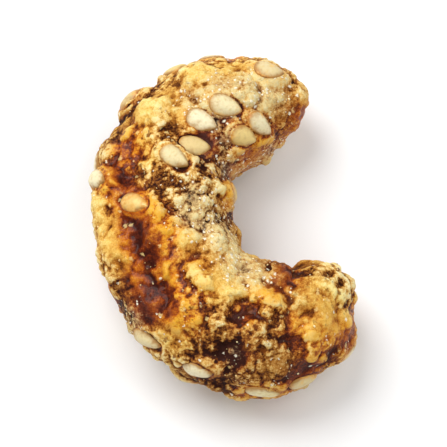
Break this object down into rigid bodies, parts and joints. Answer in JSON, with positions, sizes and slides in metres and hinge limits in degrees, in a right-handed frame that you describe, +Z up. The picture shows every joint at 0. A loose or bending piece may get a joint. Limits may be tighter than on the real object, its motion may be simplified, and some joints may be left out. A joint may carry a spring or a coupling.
{
  "type": "caramelized cashew nut",
  "caption": "C-shaped cashew kernel under a lumpy caramel crust, with sesame seeds sunk into it, lying on its side.",
  "frame": {"origin": "on the surface the nut lies on, under the middle of its box", "axes": "+X towards the open side of the C, +Y towards the slim upper arm, +Z up from the surface"},
  "size_m": [0.0234, 0.0316, 0.0121],
  "materials": {
    "caramel_crust": "thin glossy caramel over rough sugar, golden to dark brown",
    "sesame_seed": "matte to satin, ivory to beige"
  },
  "bodies": {
    "root": {"caramelized_cashew": "caramel_crust"}
  },
  "joints": []
}
